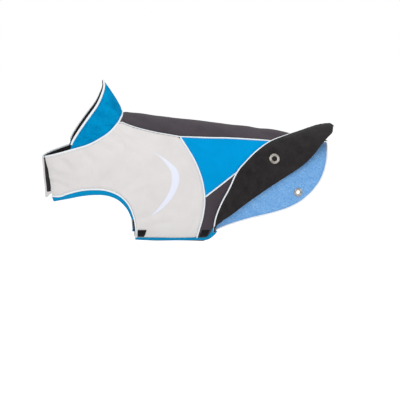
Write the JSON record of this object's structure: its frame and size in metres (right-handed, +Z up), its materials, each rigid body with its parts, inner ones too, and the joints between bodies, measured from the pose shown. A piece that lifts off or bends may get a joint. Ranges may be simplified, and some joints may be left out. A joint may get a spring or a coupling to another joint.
{
  "type": "dog winter coat",
  "caption": "Worn dog coat as an empty shell: pieced panels, standing collar, belly band, leg arches, inner rump skirt, left flap turned up.",
  "frame": {"origin": "on the wearer's spine at the outer face of the back panel, above the girth, where the wearer's back holds the coat", "axes": "+X from neck to tail, +Y to the wearer's right side, +Z up"},
  "size_m": [0.581, 0.1807, 0.3225],
  "materials": {
    "pale_grey_fabric": "fine woven, matt, a little sheen",
    "charcoal_fabric": "brushed woven, matt",
    "blue_fabric": "fine woven, matt",
    "collar_blue_fabric": "mottled knit, matt",
    "binding_blue_fabric": "ribbed binding tape, matt",
    "light_blue_heather_fabric": "heathered knit, matt",
    "black_nap_fabric": "napped lining and hook tape, matt",
    "near_white_piping": "smooth corded piping, a little sheen",
    "eyelet_steel": "satin"
  },
  "bodies": {
    "root": {"side_panel_left": "pale_grey_fabric", "side_panel_right": "pale_grey_fabric", "side_insert_left": "blue_fabric", "side_insert_right": "blue_fabric", "arch_facing_left": "binding_blue_fabric", "arch_facing_right": "binding_blue_fabric", "hem_binding_left": "binding_blue_fabric", "hem_binding_right": "binding_blue_fabric", "back_panel": "charcoal_fabric", "flank_panel_left": "charcoal_fabric", "collar": "collar_blue_fabric", "collar_lining": "black_nap_fabric", "belly_band": "charcoal_fabric", "chest_hook_strip": "black_nap_fabric", "hook_patch_front": "black_nap_fabric", "hook_patch_rear": "black_nap_fabric", "flap_shell_left": "charcoal_fabric", "flap_lining_left": "black_nap_fabric", "inner_skirt": "light_blue_heather_fabric", "skirt_panel_right": "charcoal_fabric", "eyelet_flap": "eyelet_steel", "eyelet_inner_left": "eyelet_steel", "eyelet_skirt_right": "eyelet_steel", "eyelet_inner_right": "eyelet_steel", "piping_neck": "near_white_piping", "piping_collar": "near_white_piping", "piping_back_left": "near_white_piping", "piping_back_right": "near_white_piping", "piping_rear_left": "near_white_piping", "piping_rear_right": "near_white_piping", "piping_insert_left": "near_white_piping", "piping_insert_right": "near_white_piping", "piping_arch_left": "near_white_piping", "piping_arch_right": "near_white_piping", "piping_flap": "near_white_piping", "piping_inner_skirt": "near_white_piping", "piping_skirt_right": "near_white_piping"}
  },
  "joints": []
}
